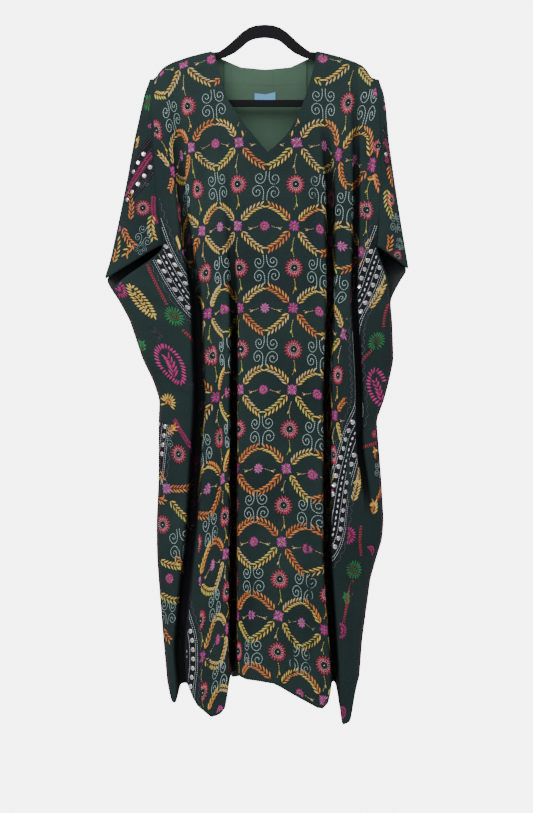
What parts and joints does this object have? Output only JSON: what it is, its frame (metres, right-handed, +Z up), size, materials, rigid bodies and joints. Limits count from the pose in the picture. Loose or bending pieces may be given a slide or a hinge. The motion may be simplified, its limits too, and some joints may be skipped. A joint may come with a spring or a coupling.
{
  "type": "kaftan on a hanger",
  "caption": "Floor-length embroidered kaftan with a V neck and short wing sleeves, hung flat on a slim hanger with a bar.",
  "frame": {"origin": "middle of the underside of the hanger's arch, where the hanger is held", "axes": "+Z up, -Y the garment's front, +X to the right as seen from the front"},
  "size_m": [0.6439, 0.1853, 1.4744],
  "materials": {
    "embroidered_cotton": "dark teal cotton with coloured running and chain stitch",
    "plain_lining": "plain green cotton lining",
    "woven_label": "light blue woven tape, blank",
    "flocked_hanger": "black velvet flock"
  },
  "bodies": {
    "root": {"front_panel": "embroidered_cotton", "back_panel": "embroidered_cotton", "sleeve_left": "embroidered_cotton", "sleeve_right": "embroidered_cotton", "back_facing": "plain_lining", "neck_label": "woven_label", "hanger": "flocked_hanger", "hanger_bar": "flocked_hanger"}
  },
  "joints": []
}
